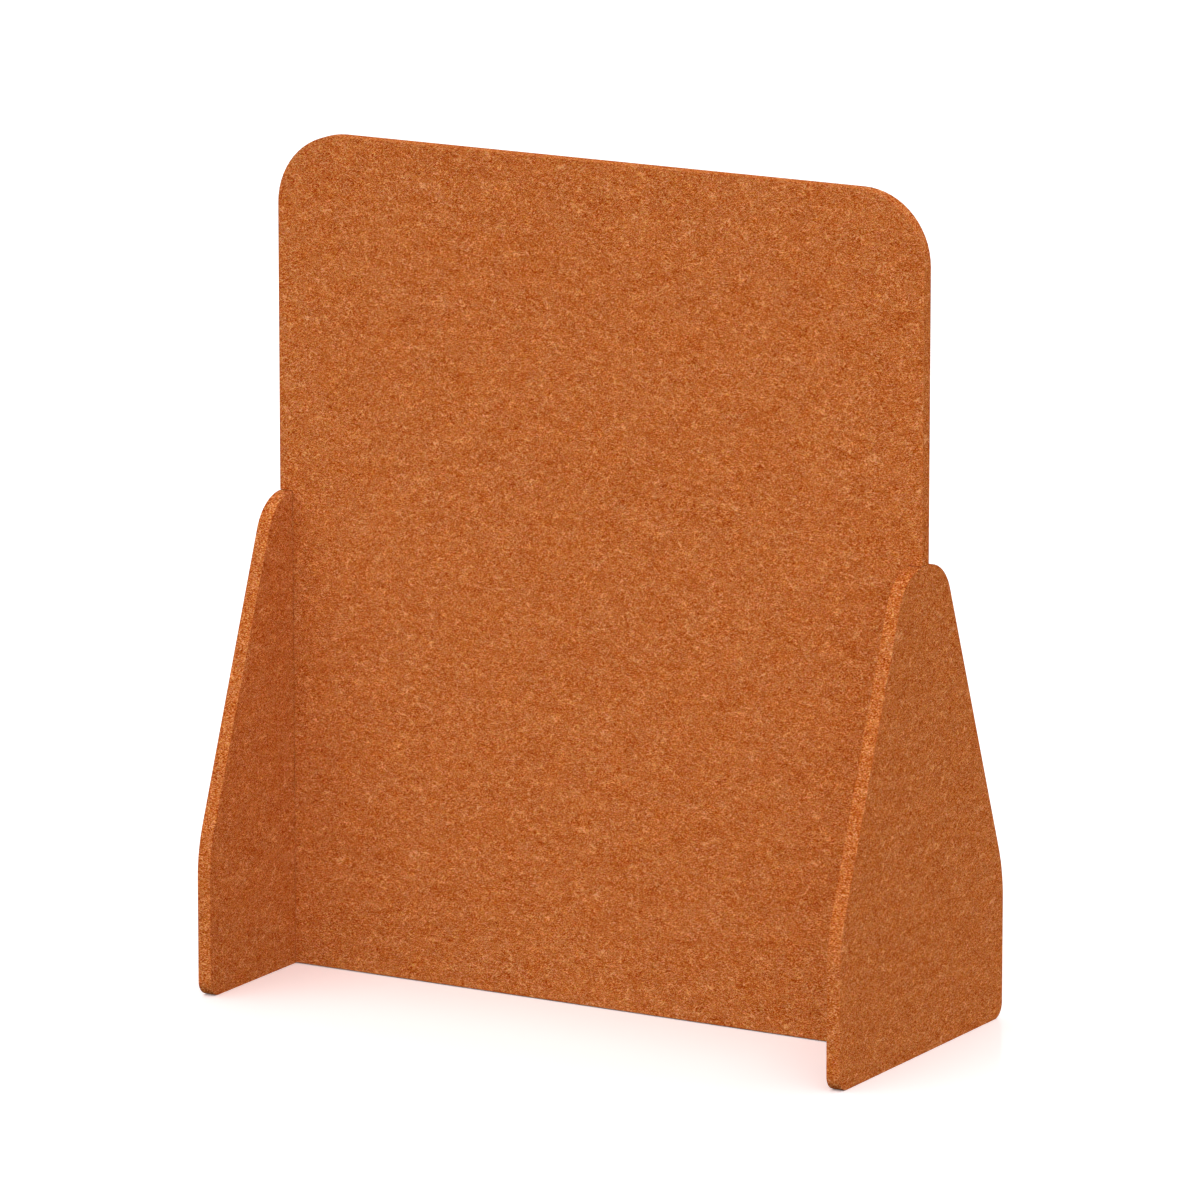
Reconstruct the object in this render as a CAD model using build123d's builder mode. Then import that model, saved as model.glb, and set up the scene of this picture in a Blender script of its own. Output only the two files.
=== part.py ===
"""Free-standing acoustic divider screen: one felt board carried between two felt feet.

The centre panel is notched at each lower corner. A foot fills each notch, flush with the
panel's side, and the panel's shoulder rests on the foot's flat top. Below the shoulder
the panel's edge carries a dovetailed tail, which drops into a groove in the foot's inner
face and keeps the foot from pulling away. The groove's mouth is narrower than the panel
is thick, so that nothing of the joint shows outside. The shoulder's visible edges are
undercut a little, which leaves a fine dark seam above the foot.

Frame: millimetres, +Z up, origin on the floor at the middle of the screen. X runs along
the panel, and Y through its thickness. Front and back are alike.
"""

from build123d import *
import os

# Centre panel, one board of pressed felt
panel_width = 1200.0
panel_height = 1400.0
panel_thickness = 24.0
panel_corner_radius = 120.0

# Foot, its outline given by the straight lines that its rounded corners join
foot_depth = 550.0
foot_height = 802.0
foot_thickness = 24.0
foot_bend_height = 243.5
foot_top_width = 130.0
foot_top_radius = 80.0
foot_bend_radius = 250.0
foot_bottom_radius = 25.0

# Dovetailed tail on the panel's edge
tail_depth = 12.0
tail_root_width = 16.0
tail_tip_width = 22.0

# Softened arris along every cut edge, and the undercut at the shoulders' visible edges
arris_radius = 0.8
seam_height = 1.0
seam_depth = 2.5

# Clearances, and the overrun of a through cut
floor_clearance = 1.5
joint_clearance = 0.3
cut_overrun = 5.0

# Places that follow from the sizes above
foot_outer_x = panel_width / 2
foot_inner_x = foot_outer_x - foot_thickness
panel_edge_x = foot_inner_x - joint_clearance
panel_top_z = floor_clearance + panel_height
tail_tip_x = foot_inner_x + tail_depth - joint_clearance

sides = {"left": -1, "right": 1}


def tail_outline(side):
    """Corners of the tail's section, seen from above, on the left (-1) or right (1) edge."""
    return [
        (side * panel_edge_x, -tail_root_width / 2),
        (side * tail_tip_x, -tail_tip_width / 2),
        (side * tail_tip_x, tail_tip_width / 2),
        (side * panel_edge_x, tail_root_width / 2),
    ]


def undercut_outline(edge):
    """Corners of the undercut's section at a shoulder's edge, as distance from the middle and height."""
    outside = edge + cut_overrun
    rise = (seam_depth + cut_overrun) * seam_height / seam_depth
    return [
        (edge - seam_depth, foot_height),
        (outside, foot_height),
        (outside, foot_height + rise),
    ]


# Centre panel: rounded at the top, notched at the lower corners, with a tail on each edge
with BuildPart() as centre_panel:
    with BuildSketch(Plane.XZ.offset(-panel_thickness / 2)):
        with BuildLine():
            Polyline(
                (0, floor_clearance),
                (panel_edge_x, floor_clearance),
                (panel_edge_x, foot_height),
                (foot_outer_x, foot_height),
                (foot_outer_x, panel_top_z),
                (0, panel_top_z),
            )
            mirror(about=Plane.YZ)
        make_face()
        top_row = vertices().group_by(Axis.Y)[-1].sort_by(Axis.X)
        fillet([top_row[0], top_row[-1]], panel_corner_radius)
    extrude(amount=panel_thickness)
    fillet(centre_panel.faces().filter_by(Axis.Y).edges(), arris_radius)

    # The shoulders' undercut, first at the outer edges and then at the front and back ones
    with BuildSketch(Plane.XZ):
        with BuildLine():
            Polyline(*undercut_outline(foot_outer_x), close=True)
        make_face()
        mirror(about=Plane.YZ)
    extrude(amount=panel_thickness, both=True, mode=Mode.SUBTRACT)
    for side in sides.values():
        with BuildSketch(Plane.YZ.offset(side * panel_edge_x)):
            with BuildLine():
                Polyline(*undercut_outline(panel_thickness / 2), close=True)
            make_face()
            mirror(about=Plane.YZ)
        extrude(amount=side * (foot_thickness + cut_overrun), mode=Mode.SUBTRACT)

    for side in sides.values():
        with BuildSketch(Plane.XY.offset(floor_clearance)):
            with BuildLine():
                Polyline(*tail_outline(side), close=True)
            make_face()
        extrude(amount=foot_height - floor_clearance)

centre_panel.part.label = "centre_panel"


def make_foot(name, side):
    """One foot: upright, then leaning in to a rounded top, with the tail's groove inside."""
    with BuildPart() as foot:
        with BuildSketch(Plane.YZ.offset(side * foot_inner_x)):
            with BuildLine():
                Polyline(
                    (0, 0),
                    (foot_depth / 2, 0),
                    (foot_depth / 2, foot_bend_height),
                    (foot_top_width / 2, foot_height),
                    (0, foot_height),
                )
                mirror(about=Plane.YZ)
            make_face()
            # Rows of corners, counted from the floor. The bend comes first, while it is still the
            # second row, and the rows are read again each time because a fillet renews them.
            for row, radius in (
                (1, foot_bend_radius),
                (0, foot_bottom_radius),
                (-1, foot_top_radius),
            ):
                corners = vertices().group_by(Axis.Y)[row].sort_by(Axis.X)
                fillet([corners[0], corners[-1]], radius)
        extrude(amount=side * foot_thickness)
        fillet(foot.faces().filter_by(Axis.X).edges(), arris_radius)

        with BuildSketch(Plane.XY.offset(-cut_overrun)):
            with BuildLine():
                Polyline(*tail_outline(side), close=True)
            make_face()
            offset(amount=joint_clearance, kind=Kind.INTERSECTION)
        extrude(amount=foot_height + 2 * cut_overrun, mode=Mode.SUBTRACT)

    foot.part.label = name
    return foot.part


pieces = [centre_panel.part]
for side_name, side_sign in sides.items():
    pieces.append(make_foot(f"{side_name}_foot", side_sign))

os.makedirs("parts", exist_ok=True)
for piece in pieces:
    export_step(piece, f"parts/{piece.label}.step")
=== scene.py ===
"""Looks of the free-standing acoustic divider screen: felt boards in a plain white studio.

The three boards come from the frame as they are. Each gets a felt finish whose grain lies
in the board's own plane, and the studio adds a floor, soft light and the camera.
"""

import logging
import math
from dataclasses import dataclass, replace
from enum import Enum
from typing import Any

import bmesh
import bpy
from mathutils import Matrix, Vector

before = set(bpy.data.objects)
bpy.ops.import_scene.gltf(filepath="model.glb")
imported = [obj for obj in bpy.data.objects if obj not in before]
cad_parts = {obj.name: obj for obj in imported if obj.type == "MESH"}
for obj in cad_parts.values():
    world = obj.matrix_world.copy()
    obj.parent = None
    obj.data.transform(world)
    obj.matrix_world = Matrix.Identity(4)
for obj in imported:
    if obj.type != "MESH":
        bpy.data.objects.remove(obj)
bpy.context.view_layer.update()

LOG = logging.getLogger("divider_screen")

Colour = tuple[float, float, float]
OpaqueColour = tuple[float, float, float, float]
Socket = bpy.types.NodeSocket

WHITE: OpaqueColour = (1.0, 1.0, 1.0, 1.0)
NOISE_MIDDLE = 0.5
GRAIN_MIDDLE = 0.5


class BoardPlane(Enum):
    """The plane that a board lies in, as the object axes of its width, height and thickness."""

    ALONG_SCREEN = ("X", "Z", "Y")
    ACROSS_SCREEN = ("Y", "Z", "X")


class ShaderSheet:
    """A material's or a world's node tree, with short ways to add nodes and join them."""

    def __init__(self, tree: bpy.types.NodeTree) -> None:
        """Start on an empty tree.

        Args:
            tree: The node tree to fill.
        """
        self.tree = tree
        self.tree.nodes.clear()

    def node(
        self, kind: str, inputs: dict[str | int, Any] | None = None, **settings: Any
    ) -> bpy.types.Node:
        """Add a node.

        Args:
            kind: The node's type, such as "ShaderNodeMath".
            inputs: A value or an output socket for each input, given by its name or its place.
            settings: The node's own properties.

        Returns:
            The new node.
        """
        made = self.tree.nodes.new(kind)
        for name, value in settings.items():
            setattr(made, name, value)
        for key, value in (inputs or {}).items():
            self.feed(made.inputs[key], value)
        return made

    def feed(self, socket: Socket, value: Any) -> None:
        """Link an output to a socket, or set the socket's own value.

        Args:
            socket: The input to fill.
            value: An output socket, or a constant.
        """
        if isinstance(value, bpy.types.NodeSocket):
            self.tree.links.new(value, socket)
        else:
            socket.default_value = value

    def math(self, operation: str, first: Any, second: Any = 0.0) -> Socket:
        """Do a sum on two numbers.

        Args:
            operation: Blender's name of the sum, such as "MULTIPLY".
            first: A number or an output socket.
            second: A number or an output socket.

        Returns:
            The result's socket.
        """
        made = self.node("ShaderNodeMath", {0: first, 1: second}, operation=operation)
        return made.outputs["Value"]

    def band(self, value: Socket, low: float, high: float) -> Socket:
        """Rise smoothly from 0 to 1 as a value goes from low to high.

        Args:
            value: The value's socket.
            low: Where the rise starts.
            high: Where it ends.

        Returns:
            The result's socket.
        """
        made = self.node(
            "ShaderNodeMapRange",
            {"Value": value, "From Min": low, "From Max": high},
            interpolation_type="SMOOTHSTEP",
        )
        return made.outputs["Result"]

    def grey(self, value: Socket) -> Socket:
        """Make a grey colour from a number's socket."""
        made = self.node("ShaderNodeCombineColor", {"Red": value, "Green": value, "Blue": value})
        return made.outputs["Color"]

    def blend(self, kind: str, share: Any, first: Any, second: Any) -> Socket:
        """Blend two colours.

        Args:
            kind: Blender's name of the blend, such as "MIX" or "MULTIPLY".
            share: How much of the blend is used, from 0 to 1.
            first: A colour or an output socket.
            second: A colour or an output socket.

        Returns:
            The blended colour's socket.
        """
        made = self.node("ShaderNodeMix", data_type="RGBA", blend_type=kind)
        names = {socket.identifier: socket for socket in made.inputs}
        self.feed(names["Factor_Float"], share)
        self.feed(names["A_Color"], first)
        self.feed(names["B_Color"], second)
        return next(socket for socket in made.outputs if socket.identifier == "Result_Color")


def opaque(colour: Colour) -> OpaqueColour:
    """Give a colour its full cover."""
    return (*colour, 1.0)


@dataclass(frozen=True)
class FibreLay:
    """Fibres that lie about one way in the board, with their weight in the felt's grain.

    The turn is from level, and length and width are in metres.
    """

    turn_deg: float
    length: float
    width: float
    weight: float


@dataclass(frozen=True)
class FeltFinish:
    """Pressed felt of light and dark fibres, most of them near level in the board's own plane.

    Lengths are in metres, and colours are linear.
    """

    name: str = "pressed_felt"
    dark_fibre: Colour = (0.195, 0.006, 0.000)
    middle: Colour = (0.422, 0.095, 0.010)
    light_fibre: Colour = (0.718, 0.306, 0.118)
    warm_tint: Colour = (1.09, 1.00, 0.73)
    cool_tint: Colour = (0.91, 1.00, 1.27)
    tint_size: float = 0.030
    tint_octaves: float = 3.0
    tint_roughness: float = 0.7
    lays: tuple[FibreLay, ...] = (
        FibreLay(turn_deg=0.0, length=0.0022, width=0.00075, weight=1.50),
        FibreLay(turn_deg=38.0, length=0.0030, width=0.00075, weight=1.75),
        FibreLay(turn_deg=-35.0, length=0.0030, width=0.00075, weight=1.10),
        FibreLay(turn_deg=2.0, length=0.0070, width=0.0017, weight=0.54),
        FibreLay(turn_deg=-20.0, length=0.0120, width=0.0026, weight=0.26),
        FibreLay(turn_deg=4.0, length=0.0210, width=0.0065, weight=0.20),
        FibreLay(turn_deg=-1.0, length=0.0600, width=0.0200, weight=0.18),
    )
    strays: tuple[FibreLay, ...] = (
        FibreLay(turn_deg=24.0, length=0.0300, width=0.0110, weight=0.30),
        FibreLay(turn_deg=-38.0, length=0.0260, width=0.0120, weight=0.30),
    )
    stray_share: float = 0.04
    stray_gap: tuple[float, float] = (0.51, 0.60)
    dyed: FibreLay = FibreLay(turn_deg=18.0, length=0.0060, width=0.0013, weight=1.0)
    dye_spread: Colour = (0.6, 0.7, 1.8)
    layer_depth: float = 0.0035
    fine_fibres: float = 1.0
    fine_share: float = 0.6
    curl_size: float = 0.020
    curl_octaves: float = 1.0
    curl_reach: float = 0.0080
    bump_height: float = 0.0004
    bump_strength: float = 0.30
    roughness: float = 1.0
    specular: float = 0.0

    def material(self, plane: BoardPlane) -> bpy.types.Material:
        """Build the felt for a board.

        Args:
            plane: The plane that the board lies in.

        Returns:
            The felt's material.
        """
        felt = bpy.data.materials.new(f"{self.name}_{plane.name.lower()}")
        felt.use_nodes = True
        sheet = ShaderSheet(felt.node_tree)
        place = self._board_place(sheet, plane)
        curled = self._curled(sheet, place)
        grain = self._grain(sheet, curled)
        colour = self._dyed(sheet, self._colour(sheet, grain, place), curled)
        bump = sheet.node(
            "ShaderNodeBump",
            {"Height": grain, "Strength": self.bump_strength, "Distance": self.bump_height},
        )
        shader = sheet.node(
            "ShaderNodeBsdfPrincipled",
            {
                "Base Color": colour,
                "Normal": bump.outputs["Normal"],
                "Roughness": self.roughness,
                "Specular IOR Level": self.specular,
            },
        )
        sheet.node("ShaderNodeOutputMaterial", {"Surface": shader.outputs["BSDF"]})
        return felt

    @staticmethod
    def _board_place(sheet: ShaderSheet, plane: BoardPlane) -> Socket:
        """Turn object coordinates into the board's width, height and thickness.

        Args:
            sheet: The felt's nodes.
            plane: The plane that the board lies in.

        Returns:
            The place on the board.
        """
        coordinates = sheet.node("ShaderNodeTexCoord").outputs["Object"]
        apart = sheet.node("ShaderNodeSeparateXYZ", {"Vector": coordinates})
        ordered = {axis: apart.outputs[source] for axis, source in zip("XYZ", plane.value)}
        return sheet.node("ShaderNodeCombineXYZ", ordered).outputs["Vector"]

    def _curled(self, sheet: ShaderSheet, place: Socket) -> Socket:
        """Bend the place by a slow noise, so that the fibres curl.

        Args:
            sheet: The felt's nodes.
            place: The place on the board.

        Returns:
            The bent place.
        """
        noise = sheet.node(
            "ShaderNodeTexNoise",
            {"Vector": place, "Scale": 1 / self.curl_size, "Detail": self.curl_octaves},
        )
        centred = sheet.node(
            "ShaderNodeVectorMath",
            {0: noise.outputs["Color"], 1: (NOISE_MIDDLE, NOISE_MIDDLE, NOISE_MIDDLE)},
            operation="SUBTRACT",
        )
        reach = sheet.node(
            "ShaderNodeVectorMath",
            {0: centred.outputs["Vector"], "Scale": self.curl_reach},
            operation="SCALE",
        )
        moved = sheet.node(
            "ShaderNodeVectorMath", {0: place, 1: reach.outputs["Vector"]}, operation="ADD"
        )
        return moved.outputs["Vector"]

    def _stretched(
        self, sheet: ShaderSheet, curled: Socket, lay: FibreLay, detail: float
    ) -> bpy.types.Node:
        """Draw out a noise along the fibres of a lay.

        The lay's turn also moves the noise, so that no two lays show the same one.

        Args:
            sheet: The felt's nodes.
            curled: The bent place, which the fibres follow.
            lay: The fibres to follow.
            detail: How many times finer fibres are added.

        Returns:
            The noise, whose grey and whose colours lie around NOISE_MIDDLE.
        """
        turned = sheet.node(
            "ShaderNodeVectorRotate",
            {"Vector": curled, "Angle": math.radians(-lay.turn_deg)},
            rotation_type="Z_AXIS",
        )
        drawn_out = sheet.node(
            "ShaderNodeMapping",
            {
                "Vector": turned.outputs["Vector"],
                "Location": (lay.turn_deg, lay.turn_deg, lay.turn_deg),
                "Scale": (1 / lay.length, 1 / lay.width, 1 / max(lay.width, self.layer_depth)),
            },
        )
        return sheet.node(
            "ShaderNodeTexNoise",
            {
                "Vector": drawn_out.outputs["Vector"],
                "Scale": 1.0,
                "Detail": detail,
                "Roughness": self.fine_share,
            },
        )

    def _grain(self, sheet: ShaderSheet, curled: Socket) -> Socket:
        """Lay the fibres over each other, and a few long light strays on top.

        Args:
            sheet: The felt's nodes.
            curled: The bent place, which the fibres follow.

        Returns:
            How light the felt is, from 0 to 1.
        """
        total: Any = GRAIN_MIDDLE
        for lay in self.lays:
            fibres = self._stretched(sheet, curled, lay, self.fine_fibres).outputs["Fac"]
            centred = sheet.math("SUBTRACT", fibres, NOISE_MIDDLE)
            total = sheet.math("ADD", total, sheet.math("MULTIPLY", centred, lay.weight))
        for lay in self.strays:
            noise = self._stretched(sheet, curled, lay, detail=0.0).outputs["Fac"]
            off_line = sheet.math("ABSOLUTE", sheet.math("SUBTRACT", noise, NOISE_MIDDLE))
            line = sheet.math("SUBTRACT", 1.0, sheet.band(off_line, 0.0, self.stray_share))
            across = replace(lay, turn_deg=-lay.turn_deg)
            crossing = self._stretched(sheet, curled, across, detail=0.0)
            shows = sheet.band(crossing.outputs["Fac"], *self.stray_gap)
            stray = sheet.math("MULTIPLY", line, shows)
            total = sheet.math("ADD", total, sheet.math("MULTIPLY", stray, lay.weight))
        return sheet.math("MINIMUM", sheet.math("MAXIMUM", total, 0.0), 1.0)

    def _colour(self, sheet: ShaderSheet, grain: Socket, place: Socket) -> Socket:
        """Colour the grain, and let it drift between a warmer and a cooler tint.

        Args:
            sheet: The felt's nodes.
            grain: How light the felt is, from 0 to 1.
            place: The place on the board.

        Returns:
            The felt's colour.
        """
        ramp = sheet.node("ShaderNodeValToRGB", {"Fac": grain})
        stops = ramp.color_ramp.elements
        stops[0].color = opaque(self.dark_fibre)
        stops[1].color = opaque(self.light_fibre)
        stops.new(GRAIN_MIDDLE).color = opaque(self.middle)
        drift = sheet.node(
            "ShaderNodeTexNoise",
            {
                "Vector": place,
                "Scale": 1 / self.tint_size,
                "Detail": self.tint_octaves,
                "Roughness": self.tint_roughness,
            },
        )
        warm, cool = opaque(self.warm_tint), opaque(self.cool_tint)
        tint = sheet.blend("MIX", drift.outputs["Fac"], warm, cool)
        return sheet.blend("MULTIPLY", 1.0, ramp.outputs["Color"], tint)

    def _dyed(self, sheet: ShaderSheet, colour: Socket, curled: Socket) -> Socket:
        """Let each fibre take the dye a little differently.

        Args:
            sheet: The felt's nodes.
            colour: The felt's colour.
            curled: The bent place, which the fibres follow.

        Returns:
            The colour with its fine flecks of other hues.
        """
        took = self._stretched(sheet, curled, self.dyed, self.fine_fibres).outputs["Color"]
        spread = [self.dyed.weight * share for share in self.dye_spread]
        least = [1 - share * NOISE_MIDDLE for share in spread]
        change = sheet.node(
            "ShaderNodeVectorMath", {0: took, 1: spread, 2: least}, operation="MULTIPLY_ADD"
        )
        return sheet.blend("MULTIPLY", 1.0, colour, change.outputs["Vector"])


@dataclass(frozen=True)
class FeltBoard:
    """One board of the screen, shown by its CAD node."""

    node: str
    plane: BoardPlane

    def dress(self, finish: FeltFinish) -> None:
        """Put the felt on the board.

        Args:
            finish: The felt to use.
        """
        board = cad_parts[self.node]
        felt = finish.material(self.plane)
        for slot in board.material_slots:
            slot.material = felt
        LOG.info("%s: felt on %d faces", self.node, len(board.data.polygons))


def towards(azimuth_deg: float, elevation_deg: float) -> Vector:
    """Give the direction from the screen to a place seen at an azimuth and elevation.

    Args:
        azimuth_deg: Degrees to the right of the screen's front.
        elevation_deg: Degrees above the floor.

    Returns:
        A unit vector.
    """
    azimuth, elevation = math.radians(azimuth_deg), math.radians(elevation_deg)
    level = math.cos(elevation)
    return Vector((math.sin(azimuth) * level, -math.cos(azimuth) * level, math.sin(elevation)))


BOARDS = (
    FeltBoard("centre_panel", BoardPlane.ALONG_SCREEN),
    FeltBoard("left_foot", BoardPlane.ACROSS_SCREEN),
    FeltBoard("right_foot", BoardPlane.ACROSS_SCREEN),
)
EVERY_BOARD = tuple(board.node for board in BOARDS)


@dataclass(frozen=True)
class Lamp:
    """A wide far lamp, which can be kept to some boards, and be held back by some only.

    One that is kept to boards throws no shadow on the floor.
    """

    name: str
    azimuth_deg: float
    elevation_deg: float
    strength: float
    width_deg: float = 70.0
    kept_to: tuple[str, ...] = ()
    held_back_by: tuple[str, ...] = ()

    def hang(self) -> None:
        """Put the lamp in the scene."""
        light = bpy.data.lights.new(self.name, "SUN")
        light.energy = self.strength
        light.angle = math.radians(self.width_deg)
        lamp = bpy.data.objects.new(self.name, light)
        facing = towards(self.azimuth_deg, self.elevation_deg)
        lamp.rotation_euler = facing.to_track_quat("Z", "Y").to_euler()
        bpy.context.scene.collection.objects.link(lamp)
        if self.kept_to:
            lamp.light_linking.receiver_collection = self._gather("lights", self.kept_to)
        if self.held_back_by:
            lamp.light_linking.blocker_collection = self._gather("shadows", self.held_back_by)

    def _gather(self, purpose: str, nodes: tuple[str, ...]) -> bpy.types.Collection:
        """Gather boards in a collection.

        Args:
            purpose: What the lamp does with the boards.
            nodes: The boards' nodes.

        Returns:
            The collection.
        """
        gathered = bpy.data.collections.new(f"{self.name}_{purpose}")
        for node in nodes:
            gathered.objects.link(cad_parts[node])
        return gathered


@dataclass(frozen=True)
class Studio:
    """A white floor, an even sky, wide lamps and the camera.

    The floor glows a little and is slightly glossy, for the camera only, so that it is white
    around a soft shadow and a faint reflection. Close to the boards the glow is weaker and
    pinker, a painted shade with painted pink bounce light, and under them it is gone, a painted
    contact shadow. The right foot doesn't hold back the lamp on the right, so that it darkens
    the panel beside it as little as in the photograph. Lengths are in metres.
    """

    floor_half_width: float = 60.0
    floor_seen: float = 0.90
    floor_bounce: float = 0.25
    floor_glow: float = 0.42
    floor_gloss: float = 0.11
    floor_roughness: float = 0.15
    # The next four values set a painted shade with painted pink bounce light: the floor's glow
    # is dimmed and tinted pink where the boards close in the space above it.
    painted_shade_tint: Colour = (0.81, 0.42, 0.42)
    painted_shade_reach: float = 0.23
    painted_shade_samples: int = 2
    least_open: float = 0.54
    # The next three values set a painted contact shadow: the floor's glow fades out in tight
    # gaps under the boards, such as under the feet's rounded ends.
    painted_gap_shadow_reach: float = 0.03
    painted_gap_shadow_samples: int = 4
    painted_gap_shadow_band: tuple[float, float] = (0.05, 0.25)
    sky_strength: float = 0.80
    lamps: tuple[Lamp, ...] = (
        Lamp("lamp_above", azimuth_deg=0.0, elevation_deg=50.0, strength=0.47),
        Lamp(
            "lamp_right",
            azimuth_deg=45.0,
            elevation_deg=18.0,
            strength=1.84,
            kept_to=EVERY_BOARD,
            held_back_by=("centre_panel", "left_foot"),
        ),
        Lamp(
            "lamp_left",
            azimuth_deg=-40.0,
            elevation_deg=6.0,
            strength=0.57,
            kept_to=EVERY_BOARD,
        ),
        Lamp(
            "lamp_behind",
            azimuth_deg=195.0,
            elevation_deg=20.0,
            strength=1.80,
            kept_to=EVERY_BOARD,
        ),
        Lamp(
            "lamp_inside",
            azimuth_deg=125.0,
            elevation_deg=15.0,
            strength=1.10,
            width_deg=50.0,
            kept_to=("left_foot",),
        ),
    )
    camera_azimuth_deg: float = 30.172
    camera_elevation_deg: float = 12.485
    camera_distance: float = 15.875
    camera_aim: tuple[float, float, float] = (0.0024, 0.0, 0.6803)
    camera_lens_mm: float = 294.0
    sensor_mm: float = 36.0

    def build(self) -> None:
        """Set the whole studio up."""
        self._floor()
        self._sky()
        for lamp in self.lamps:
            lamp.hang()
        self._camera()

    @staticmethod
    def _camera_or_else(sheet: ShaderSheet, seen: float, unseen: float) -> Socket:
        """Give one value to rays that show a background, and another to the rest.

        Args:
            sheet: The nodes to add to.
            seen: The value that the camera, reflections and clear materials show.
            unseen: The value that lights the screen.

        Returns:
            The value's socket.
        """
        path = sheet.node("ShaderNodeLightPath")
        shows = path.outputs["Is Camera Ray"]
        for ray in ("Is Glossy Ray", "Is Transmission Ray"):
            shows = sheet.math("MAXIMUM", shows, path.outputs[ray])
        return sheet.math("ADD", sheet.math("MULTIPLY", shows, seen - unseen), unseen)

    @staticmethod
    def _open_share(sheet: ShaderSheet, reach: float, samples: int) -> Socket:
        """Measure how open the space above the floor is.

        Args:
            sheet: The floor's nodes.
            reach: How far away the boards count.
            samples: How many directions are tried at once.

        Returns:
            The share that is open, from 0 to 1.
        """
        near = sheet.node("ShaderNodeAmbientOcclusion", {"Distance": reach}, samples=samples)
        return near.outputs["AO"]

    def _floor(self) -> None:
        """Lay a white floor, open to a camera below it."""
        shape = bmesh.new()
        bmesh.ops.create_grid(shape, x_segments=1, y_segments=1, size=self.floor_half_width)
        mesh = bpy.data.meshes.new("studio_floor")
        shape.to_mesh(mesh)
        shape.free()
        floor = bpy.data.objects.new("studio_floor", mesh)
        bpy.context.scene.collection.objects.link(floor)
        mesh.materials.append(self._floor_paint())

    def _floor_paint(self) -> bpy.types.Material:
        """Add a matt white, a faint gloss and a glow, clear to a camera below.

        Returns:
            The floor's material.
        """
        paint = bpy.data.materials.new("studio_floor_paint")
        paint.use_nodes = True
        paint.cycles.emission_sampling = "NONE"
        sheet = ShaderSheet(paint.node_tree)
        matt_grey = self._camera_or_else(sheet, self.floor_seen, self.floor_bounce)
        matt = sheet.node("ShaderNodeBsdfDiffuse", {"Color": sheet.grey(matt_grey)})
        gloss_grey = self._camera_or_else(sheet, self.floor_gloss, 0.0)
        gloss = sheet.node(
            "ShaderNodeBsdfAnisotropic",
            {"Color": sheet.grey(gloss_grey), "Roughness": self.floor_roughness},
        )
        glow = self._glow(sheet)
        coated = sheet.node(
            "ShaderNodeAddShader", {0: matt.outputs["BSDF"], 1: gloss.outputs["BSDF"]}
        )
        above = sheet.node("ShaderNodeAddShader", {0: coated.outputs["Shader"], 1: glow})
        clear = sheet.node("ShaderNodeBsdfTransparent")
        below = sheet.node("ShaderNodeNewGeometry").outputs["Backfacing"]
        either = sheet.node(
            "ShaderNodeMixShader",
            {"Fac": below, 1: above.outputs["Shader"], 2: clear.outputs["BSDF"]},
        )
        sheet.node("ShaderNodeOutputMaterial", {"Surface": either.outputs["Shader"]})
        return paint

    def _glow(self, sheet: ShaderSheet) -> Socket:
        """Glow for the camera, weaker and pinker beside the boards and not at all under them.

        Args:
            sheet: The floor's nodes.

        Returns:
            The glow's shader.
        """
        # Painted shade with painted pink bounce light: near the boards the glow is dimmed and
        # tinted pink by how closed in the space above the floor is.
        open_beside = self._open_share(sheet, self.painted_shade_reach, self.painted_shade_samples)
        beside = sheet.math("MAXIMUM", open_beside, self.least_open)
        painted_shade_colour = sheet.blend("MIX", beside, opaque(self.painted_shade_tint), WHITE)
        # Painted contact shadow: in tight gaps under the boards the glow fades to nothing.
        open_above = self._open_share(sheet, self.painted_gap_shadow_reach, self.painted_gap_shadow_samples)
        above = sheet.band(open_above, *self.painted_gap_shadow_band)
        seen_glow = self._camera_or_else(sheet, self.floor_glow, 0.0)
        shine = sheet.math("MULTIPLY", seen_glow, above)
        glow = sheet.node("ShaderNodeEmission", {"Color": painted_shade_colour, "Strength": shine})
        return glow.outputs["Emission"]

    def _sky(self) -> None:
        """Make an even sky that shows white behind the floor."""
        world = bpy.data.worlds.new("studio_sky")
        bpy.context.scene.world = world
        world.use_nodes = True
        sheet = ShaderSheet(world.node_tree)
        strength = self._camera_or_else(sheet, 1.0, self.sky_strength)
        sky = sheet.node("ShaderNodeBackground", {"Color": WHITE, "Strength": strength})
        sheet.node("ShaderNodeOutputWorld", {"Surface": sky.outputs["Background"]})

    def _camera(self) -> None:
        """Stand the camera where the photograph was taken from."""
        view = bpy.data.cameras.new("studio_camera")
        view.lens = self.camera_lens_mm
        view.sensor_width = self.sensor_mm
        view.clip_end = 2 * self.floor_half_width
        camera = bpy.data.objects.new("studio_camera", view)
        back = towards(self.camera_azimuth_deg, self.camera_elevation_deg)
        camera.location = Vector(self.camera_aim) + back * self.camera_distance
        camera.rotation_euler = (-back).to_track_quat("-Z", "Y").to_euler()
        bpy.context.scene.collection.objects.link(camera)
        bpy.context.scene.camera = camera


def main() -> None:
    """Dress the boards and set the studio up."""
    logging.basicConfig(level=logging.INFO, format="%(name)s: %(message)s")
    felt = FeltFinish()
    for board in BOARDS:
        board.dress(felt)
    Studio().build()
    bpy.context.scene.view_settings.view_transform = "Standard"


if __name__ == "__main__":
    main()
